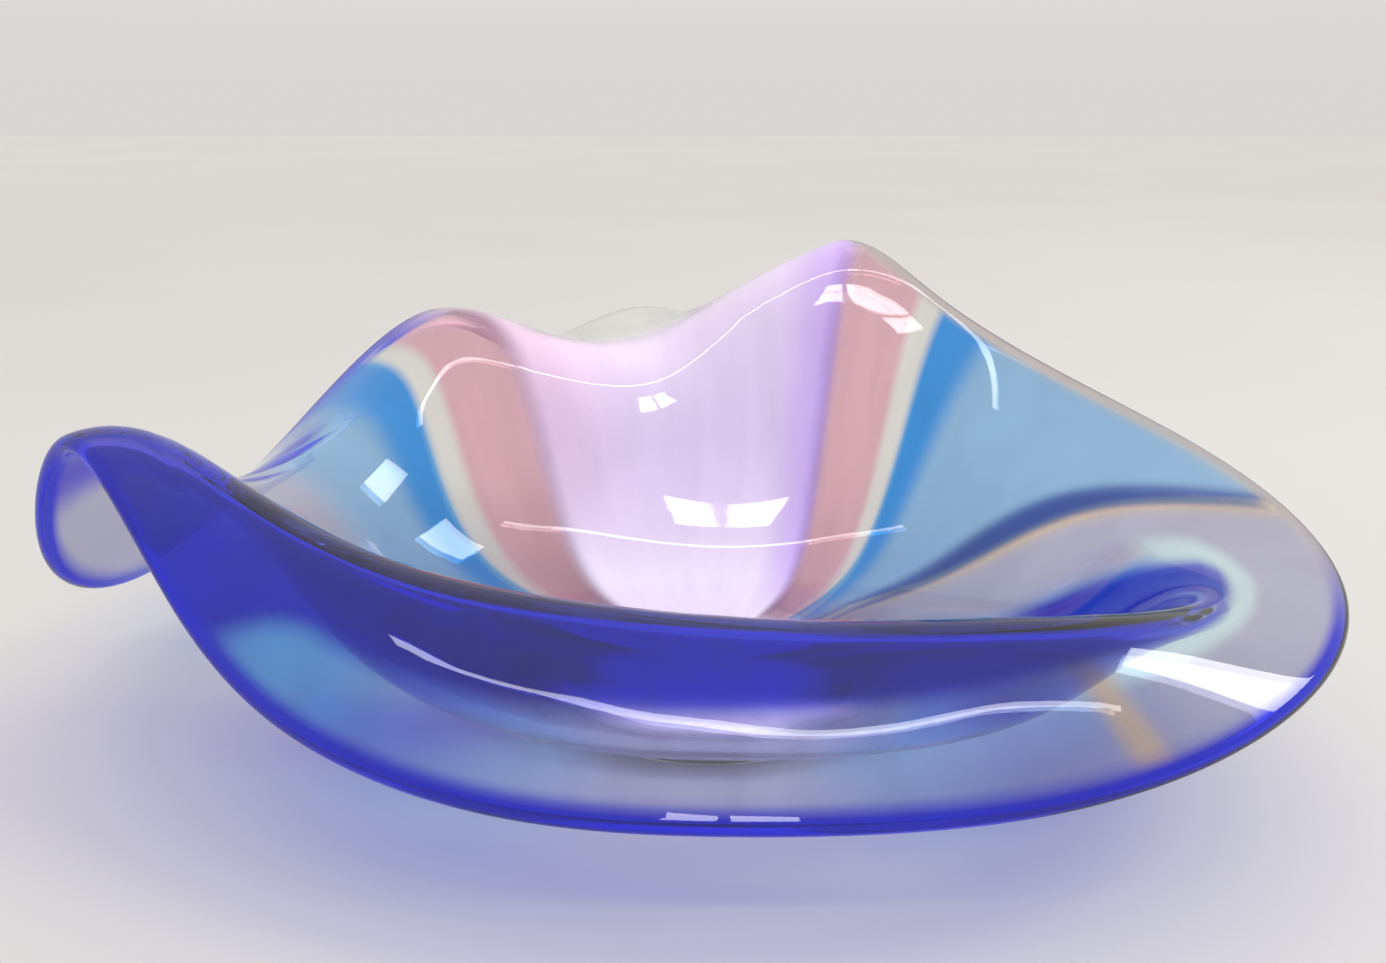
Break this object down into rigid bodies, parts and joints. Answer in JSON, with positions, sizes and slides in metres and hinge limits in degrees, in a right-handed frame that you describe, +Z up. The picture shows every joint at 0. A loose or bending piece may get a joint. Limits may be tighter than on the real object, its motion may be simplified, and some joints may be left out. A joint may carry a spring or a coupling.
{
  "type": "art glass bowl",
  "caption": "Free-form centrepiece bowl of cased glass, its rim drawn into three peaks and flaring lobes, with opal, rose, azure and cobalt bands; stands on a ground foot.",
  "frame": {"origin": "centre of the foot's resting face, on the surface the bowl stands on", "axes": "+Z up, +X towards the bowl's right, along its longest extent, +Y towards the back, where the tall fold and the opal panel are"},
  "size_m": [0.3706, 0.2976, 0.1281],
  "materials": {
    "clear": "clear, fire-polished",
    "opal": "milky lavender, translucent, under clear glass",
    "rose": "transparent rose under clear glass",
    "clear_stripe": "almost colourless, under clear glass",
    "azure": "transparent azure under clear glass",
    "pale_blue": "transparent pale blue under clear glass",
    "navy": "dark transparent blue under clear glass",
    "amber_line": "faint warm clear line under clear glass",
    "smoke": "transparent grey-lavender under clear glass",
    "violet": "transparent violet-blue under clear glass",
    "cyan": "pale cyan under clear glass",
    "cobalt": "deep transparent cobalt under clear glass",
    "cobalt_rim": "deep cobalt, fire-polished",
    "smoky_rim": "clear with a smoky grey edge, fire-polished"
  },
  "bodies": {
    "root": {"foot": "clear", "core_gather": "opal", "outer_casing_right_back": "clear", "outer_casing_back_right": "clear", "outer_casing_back_left": "clear", "outer_casing_left_back": "clear", "outer_casing_left": "clear", "outer_casing_near_left": "clear", "outer_casing_near_right": "clear", "outer_casing_right": "clear", "inner_casing": "clear", "opal_floor": "opal", "opal_panel": "opal", "rose_band_right": "rose", "rose_band_left": "rose", "clear_stripe_right": "clear_stripe", "clear_stripe_left": "clear_stripe", "azure_stripe_right": "azure", "azure_stripe_left": "azure", "pale_panel_right": "pale_blue", "pale_panel_left": "pale_blue", "navy_stripe": "navy", "clear_line": "amber_line", "smoke_fan": "smoke", "smoke_panel_left": "smoke", "violet_panel": "violet", "azure_wall": "azure", "cyan_trail": "cyan", "near_lip": "smoke", "clear_stripe_near": "amber_line", "right_lip": "smoke", "cobalt_overlay": "cobalt", "rim_wrap_cobalt": "cobalt_rim", "rim_wrap_clear": "smoky_rim"}
  },
  "joints": []
}
